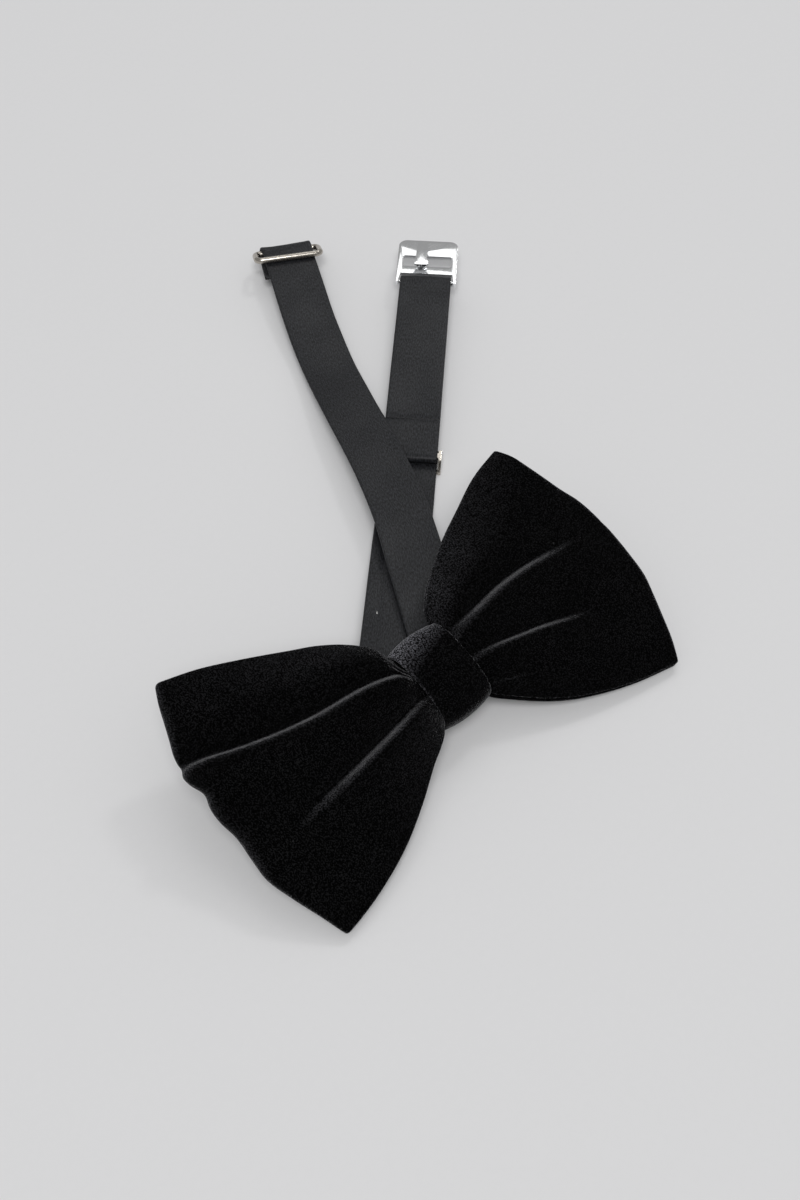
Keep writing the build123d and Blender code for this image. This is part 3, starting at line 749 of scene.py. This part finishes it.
left_wing = thicken(make_wing("left_wing_velvet", left_shape), 1.25 * MM, 1)
right_wing = thicken(make_wing("right_wing_velvet", right_shape), 1.25 * MM, 1)
print("wing triangles", sum(len(p.vertices) - 2 for p in left_wing.data.polygons))

# %% [markdown]
# ## Canvas in the wings
# A layer of canvas just behind each front panel keeps the wing's shape. It follows the same
# surface, a little inside it.


# %% Wing canvas
def make_wing_canvas(name, shape):
    """The stiffener behind a front panel."""
    across = np.linspace(-1, 1, 40)
    outwards = np.linspace(0.18, 0.9, 30)
    d, y, v = wing_grid(shape, across, outwards, inset=4.0)
    height = front_height(shape, d.ravel(), y.ravel(), v.ravel() * 0.9).reshape(d.shape)
    height = np.minimum(height - layer - 0.3, 3.2)
    points = [
        tuple(on_bow(knot_x + shape["side"] * a, b, c))
        for a, b, c in zip(d.ravel(), y.ravel(), height.ravel())]
    faces = grid_faces(len(outwards), len(across), shape["side"])
    mesh = bpy.data.meshes.new(name)
    mesh.from_pydata(points, [], faces)
    mesh.materials.append(canvas_finish)
    piece = put_in_scene(name, mesh)
    return thicken(piece, 0.4 * MM, 0)


left_canvas = make_wing_canvas("left_wing_canvas", left_shape)
right_canvas = make_wing_canvas("right_wing_canvas", right_shape)
print("canvas pieces", left_canvas.name, right_canvas.name)

# %% [markdown]
# ## The knot
# A strip of velvet, its long edges folded in, is wrapped round the gathered waist and sewn
# behind. It is a short barrel: fuller in the middle, with soft rolled edges. One cross-section
# round the bow is repeated from the left opening to the right one, then back inside.


# %% Knot wrap
def knot_ring(x, inward, count=96):
    """Points round the knot at x; inward shrinks the ring, in millimetres."""
    ring = []
    half_high, half_deep = knot_height / 2 - inward, (knot_front - knot_back) / 2 - inward
    for step in range(count):
        a = 2 * math.pi * step / count
        c, s = math.cos(a), math.sin(a)
        up = math.copysign(abs(c) ** 0.8, c) * half_high * (1.1 if c > 0 else 1.0)
        out = math.copysign(abs(s) ** 0.8, s) * half_deep
        ring.append(on_bow(x, knot_y + up, knot_middle + out))
    return ring


def make_knot():
    """The velvet wrap: a barrel with rolled edges, open at both ends."""
    half, roll = knot_width / 2, 0.9
    body = np.linspace(-half + roll, half - roll, 22)
    profile = [(x, 0.9 * (x / (half - roll)) ** 2 - 0.55) for x in body]
    for angle in np.radians([30, 60, 90, 120, 150]):
        profile.append((half - roll + roll * math.sin(angle), 0.35 + roll * (1 - math.cos(angle)) * 0.75))
    profile += [(x, 0.35 + 1.35) for x in np.linspace(half - roll, -half + roll, 10)]
    for angle in np.radians([150, 120, 90, 60, 30]):
        profile.append((-half + roll - roll * math.sin(angle), 0.35 + roll * (1 - math.cos(angle)) * 0.75))
    rings = [knot_ring(knot_x + x, inward) for x, inward in profile]
    count, around = len(rings), len(rings[0])
    points = [tuple(p) for ring in rings for p in ring]
    faces = []
    for i in range(count):
        for j in range(around):
            m, k = (i + 1) % count, (j + 1) % around
            faces.append((i * around + j, i * around + k, m * around + k, m * around + j))
    mesh = bpy.data.meshes.new("knot_velvet")
    mesh.from_pydata(points, [], faces)
    build = bmesh.new()
    build.from_mesh(mesh)
    bmesh.ops.recalc_face_normals(build, faces=build.faces)
    build.to_mesh(mesh)
    build.free()
    mesh.shade_smooth()
    mesh.materials.append(wrap_velvet)
    piece = put_in_scene("knot_velvet", mesh)
    return piece


knot = make_knot()
print("knot faces", len(knot.data.polygons))

# %% [markdown]
# ## The pad in the knot
# A small felt pad under the wrap fills the knot out. It is a rounded block, made by rounding a
# grid ball towards a box.


# %% Knot pad
def make_pad():
    """A soft block just under the front of the wrap."""
    low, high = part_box("knot_padding")
    centre = (low + high) / 2
    half = (6.4, 7.4, 1.1)
    build = bmesh.new()
    bmesh.ops.create_uvsphere(build, u_segments=32, v_segments=20, radius=1.0)
    for vertex in build.verts:
        boxed = [math.copysign(abs(c) ** 0.45, c) * h for c, h in zip(vertex.co, half)]
        vertex.co = centre + (along_bow * boxed[0] + up_bow * boxed[1] + out_of_bow * boxed[2]) * MM
    bmesh.ops.recalc_face_normals(build, faces=build.faces)
    mesh = bpy.data.meshes.new("knot_pad_felt")
    build.to_mesh(mesh)
    build.free()
    mesh.shade_smooth()
    mesh.materials.append(felt_finish)
    piece = put_in_scene("knot_pad_felt", mesh)
    return piece


knot_pad = make_pad()
print("pad made")

# %% [markdown]
# ## Stitches
# Stitches repeat along a line, so Geometry Nodes make them. The tree takes a line, divides it
# into the wanted number of places and puts one short length of thread on each, turned by a slant
# from the line. Its inputs are named for what a sewer would set.


# %% The stitch tree
def stitch_tree():
    """A node tree that sews along a line."""
    tree = bpy.data.node_groups.new("stitches", "GeometryNodeTree")
    face = tree.interface
    face.new_socket("Geometry", in_out="INPUT", socket_type="NodeSocketGeometry")
    for name, kind, value in (
        ("Count", "NodeSocketInt", 9), ("Stitch Length", "NodeSocketFloat", 2 * MM),
        ("Thread Width", "NodeSocketFloat", 0.5 * MM), ("Slant", "NodeSocketFloat", 0.0),
        ("Thread", "NodeSocketMaterial", None),
    ):
        socket = face.new_socket(name, in_out="INPUT", socket_type=kind)
        if value is not None:
            socket.default_value = value
    face.new_socket("Geometry", in_out="OUTPUT", socket_type="NodeSocketGeometry")
    given = add(tree, "NodeGroupInput").outputs
    line = add(tree, "GeometryNodeMeshToCurve", None, {"Mesh": given["Geometry"]})
    places = add(tree, "GeometryNodeResampleCurve", {"mode": "COUNT"}, {
        "Curve": line.outputs["Curve"], "Count": given["Count"]})
    ball = add(tree, "GeometryNodeMeshUVSphere", None, {"Segments": 8, "Rings": 6, "Radius": 0.5})
    size = add(tree, "ShaderNodeCombineXYZ", None, {
        "X": given["Stitch Length"], "Y": given["Thread Width"], "Z": given["Thread Width"]})
    one = add(tree, "GeometryNodeTransform", None, {
        "Geometry": ball.outputs["Mesh"], "Scale": size.outputs["Vector"]})
    heading = add(tree, "GeometryNodeInputTangent")
    slant = add(tree, "ShaderNodeVectorRotate", {"rotation_type": "AXIS_ANGLE"}, {
        "Vector": heading.outputs["Tangent"],
        "Axis": add(tree, "GeometryNodeInputNormal").outputs["Normal"],
        "Angle": given["Slant"]})
    turn = add(tree, "FunctionNodeAlignRotationToVector", {"axis": "X"}, {
        "Vector": slant.outputs["Vector"]})
    sewn = add(tree, "GeometryNodeInstanceOnPoints", None, {
        "Points": places.outputs["Curve"], "Instance": one.outputs["Geometry"],
        "Rotation": turn.outputs["Rotation"]})
    real = add(tree, "GeometryNodeRealizeInstances", None, {"Geometry": sewn.outputs["Instances"]})
    coloured = add(tree, "GeometryNodeSetMaterial", None, {
        "Geometry": real.outputs["Geometry"], "Material": given["Thread"]})
    add(tree, "NodeGroupOutput", None, {"Geometry": coloured.outputs["Geometry"]})
    return tree


stitches = stitch_tree()


# %% Sew along lines
def sew(name, lines, **inputs):
    """Make one mesh of stitches along lines, each a list of places."""
    points, edges = [], []
    for line in lines:
        first = len(points)
        points += [tuple(p) for p in line]
        edges += [(first + i, first + i + 1) for i in range(len(line) - 1)]
    mesh = bpy.data.meshes.new(name)
    mesh.from_pydata(points, edges, [])
    piece = put_in_scene(name, mesh)
    modifier = piece.modifiers.new("stitches", "NODES")
    modifier.node_group = stitches
    inputs["Thread"] = thread_finish
    for item in stitches.interface.items_tree:
        if item.in_out == "INPUT" and item.name in inputs:
            modifier[item.identifier] = inputs[item.name]
    return bake_modifiers(piece)


adjuster_seam = sew(
    "adjuster_seam", [[on_run(stitch_line, top_level + 0.1, r) for r in (-8.2, 0, 8.2)]],
    Count=11, **{"Stitch Length": 1.35 * MM, "Thread Width": 0.4 * MM})
eye_tack_level = -(fold_radius + 0.55) + 1.5 * 11.1 / 13.5
eye_tack = sew(
    "eye_bartack_thread",
    [[eye_bar + (-eye_out * 11.1 + upright * eye_tack_level + eye_across * r) * MM
      for r in (-7.2, 0, 7.2)]],
    Count=11, **{"Stitch Length": 2.2 * MM, "Thread Width": 0.5 * MM, "Slant": math.radians(80)})
knot_sewing = sew(
    "knot_hand_stitches", [[on_bow(knot_x, knot_y + y, knot_back - 0.05) for y in (-7.5, 0, 7.5)]],
    Count=7, **{"Stitch Length": 3.0 * MM, "Thread Width": 0.5 * MM, "Slant": math.radians(65)})
print("stitch triangles", sum(len(o.data.polygons) for o in (adjuster_seam, eye_tack, knot_sewing)))

# %% [markdown]
# ## Metal with rounded edges
# A stamped or bent part never has a perfectly sharp edge, and the thin bright line along an edge
# is what makes metal look like metal. The frame's meshes are loose triangles, so each one is
# copied, merged, freed of flat seams and given a small bevel.


# %% Rounded copies of the metal parts
def plated(node, name, finish, edge):
    """A copy of a metal solid with its doubles merged and its edges rounded."""
    mesh = frame["nodes"][node].data.copy()
    mesh.name = name
    mesh.materials.clear()
    mesh.materials.append(finish)
    build = bmesh.new()
    build.from_mesh(mesh)
    bmesh.ops.remove_doubles(build, verts=build.verts, dist=1e-6)
    bmesh.ops.dissolve_limit(build, angle_limit=math.radians(0.5), verts=build.verts, edges=build.edges)
    build.to_mesh(mesh)
    build.free()
    piece = put_in_scene(name, mesh)
    if edge:
        rounding = piece.modifiers.new("edge", "BEVEL")
        rounding.width, rounding.segments, rounding.limit_method = edge, 2, "ANGLE"
        rounding.angle_limit = math.radians(50)
        rounding.use_clamp_overlap = True
        piece = bake_modifiers(piece)
    piece.data.shade_smooth()
    piece.data.set_sharp_from_angle(angle=math.radians(35))
    return piece


hook = plated("hook", "hook_chrome", bright_chrome, 0.18 * MM)
eye_ring = plated("eye_ring", "eye_ring_nickel", nickel, 0)
slide = plated("slider_frame", "slide_nickel", nickel, 0.12 * MM)
print("hook triangles", sum(len(p.vertices) - 2 for p in hook.data.polygons))

# %% [markdown]
# ## Joining the pieces to the frame
# Every piece moves with a body of the frame and stands for the solid it covers.

# %% Bodies and stand-ins
bow_body = "bow_and_neckband"
for piece, body, nodes, slot in (
    (left_wing, bow_body, ["left_wing"], "velvet"),
    (right_wing, bow_body, ["right_wing"], "velvet"),
    (left_canvas, bow_body, ["left_interlining"], "canvas"),
    (right_canvas, bow_body, ["right_interlining"], "canvas"),
    (knot, bow_body, ["knot_wrap"], "velvet"),
    (knot_pad, bow_body, ["knot_padding"], "felt"),
    (band_centre, bow_body, ["neckband_centre"], "satin"),
    (hook_arm, bow_body, ["neckband_hook_arm"], "satin"),
    (hook_arm_core, bow_body, ["hook_arm_interlining"], "felt"),
    (eye_arm, bow_body, ["neckband_eye_arm"], "satin"),
    (eye_arm_core, bow_body, ["eye_arm_interlining"], "felt"),
    (knot_sewing, bow_body, ["knot_stitches"], "thread"),
    (eye_tack, bow_body, ["eye_bartack"], "thread"),
    (adjuster_seam, "slide", ["adjuster_bartack"], "thread"),
    (slide, "slide", ["slider_frame"], "nickel"),
    (hook_loop, "hook_end", ["hook_loop"], "satin"),
    (hook, "hook", ["hook"], "bright_chrome"),
    (eye_ring, "eye_ring", ["eye_ring"], "nickel"),
):
    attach(piece, body)
    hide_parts(*nodes)

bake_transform(adjuster)
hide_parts("adjuster_band")
binding = frame["nodes"]["waist_binding"]
binding.data.materials.clear()
binding.data.materials.append(thread_finish)
print("pieces joined")


# %% Sizes of the cloth
def half_area(piece):
    """One side of a thin piece, in square metres."""
    return sum(face.area for face in piece.data.polygons) / 2


for piece in (left_wing, right_wing, left_canvas, knot, hook_arm, eye_arm, adjuster, hook_loop):
    print(piece.name, "one side", round(half_area(piece) * 1e4, 1), "cm2")

# %% [markdown]
# ## Table, light and camera
# The tie lies on a plain pale table in even white light. Three round soft lights add to it: a
# small one high up behind on the right for the faint shadow, a wide one straight behind for the
# shine on metal and satin, and a wide one in front that evens out the table. The camera looks
# down at 52 degrees, turned so that the bow lies slantwise.

# %% Table
bpy.ops.mesh.primitive_grid_add(x_subdivisions=4, y_subdivisions=4, size=6)
table = bpy.context.object
table.name = "table"
table_finish, tree = new_material("matt_white_board")
place = add(tree, "ShaderNodeTexCoord").outputs["Object"]
grain = add(tree, "ShaderNodeTexNoise", None, {"Vector": place, "Scale": 1 / (2 * MM), "Detail": 3.0})
tone = add(tree, "ShaderNodeMix", {"data_type": "RGBA"}, {
    "Factor": grain.outputs["Fac"], "A": colour("#e7e7e8"), "B": colour("#e9e9ea")})
show(tree, add(tree, "ShaderNodeBsdfPrincipled", None, {
    "Base Color": tone.outputs["Result"], "Roughness": 0.9, "Specular IOR Level": 0.1}))
table.data.materials.append(table_finish)

# %% Light
world = bpy.data.worlds.new("studio")
bpy.context.scene.world = world
world.use_nodes = True
world.node_tree.nodes["Background"].inputs["Color"].default_value = colour("#ffffff")
world.node_tree.nodes["Background"].inputs["Strength"].default_value = 0.33
view_target = on_table(20.3, 33.8, 0)


def soft_light(name, azimuth, elevation, distance, size, power):
    """A round light that looks at the tie; azimuth 0 is in front, 90 to the right."""
    a, e = math.radians(azimuth), math.radians(elevation)
    away = Vector((math.sin(a) * math.cos(e), -math.cos(a) * math.cos(e), math.sin(e)))
    lamp = bpy.data.lights.new(name, "AREA")
    lamp.shape, lamp.size, lamp.energy = "DISK", size, power
    holder = put_in_scene(name, lamp)
    holder.location = view_target + away * distance
    holder.rotation_euler = (-away).to_track_quat("-Z", "Y").to_euler()
    return holder


camera_azimuth = -42.0
soft_light("key", camera_azimuth + 150, 46, 3.0, 0.45, 6.5)
soft_light("back_panel", camera_azimuth + 180, 54, 3.0, 1.6, 7.6)
soft_light("front_fill", camera_azimuth, 60, 4.5, 2.2, 92.0)
print("light ready")

# %% Camera
camera_distance, camera_elevation = 0.4545, math.radians(52)
turned = math.radians(camera_azimuth)
back = Vector((
    math.sin(turned) * math.cos(camera_elevation),
    -math.cos(turned) * math.cos(camera_elevation),
    math.sin(camera_elevation)))
lens = bpy.data.cameras.new("camera")
lens.lens, lens.sensor_width, lens.sensor_fit = 45.0, 36.0, "AUTO"
lens.clip_start, lens.clip_end = 0.01, 20.0
camera = put_in_scene("camera", lens)
camera.location = view_target + back * camera_distance
camera.rotation_euler = (-back).to_track_quat("-Z", "Y").to_euler()
bpy.context.scene.camera = camera
bpy.context.scene.view_settings.view_transform = "Standard"
